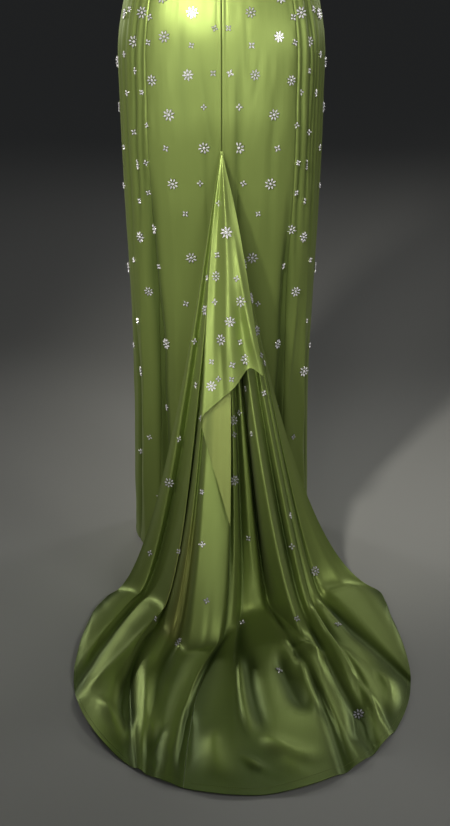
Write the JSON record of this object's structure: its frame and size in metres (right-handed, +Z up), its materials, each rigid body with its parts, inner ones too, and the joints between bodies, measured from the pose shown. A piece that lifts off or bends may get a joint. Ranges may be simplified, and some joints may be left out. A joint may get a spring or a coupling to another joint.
{
  "type": "evening gown",
  "caption": "Satin evening gown in its worn form: strapped bodice, slim column skirt, and a pleated train that fans out on the floor under a folded cascade.",
  "frame": {"origin": "midway between the two straps, at the level where they rest on the wearer's shoulders", "axes": "+Z up, -Y towards the wearer's back, where the train lies, +X towards the wearer's right"},
  "size_m": [0.5436, 0.8877, 1.4627],
  "materials": {
    "satin": "green silk satin with a soft gold sheen",
    "crystal": "clear faceted stones",
    "setting": "polished claw settings"
  },
  "bodies": {
    "root": {"bodice_front": "satin", "bodice_back_left": "satin", "bodice_back_right": "satin", "strap_left": "satin", "strap_right": "satin", "skirt_front": "satin", "skirt_back_left": "satin", "skirt_back_right": "satin", "train_left": "satin", "train_right": "satin", "cascade": "satin"}
  },
  "joints": []
}
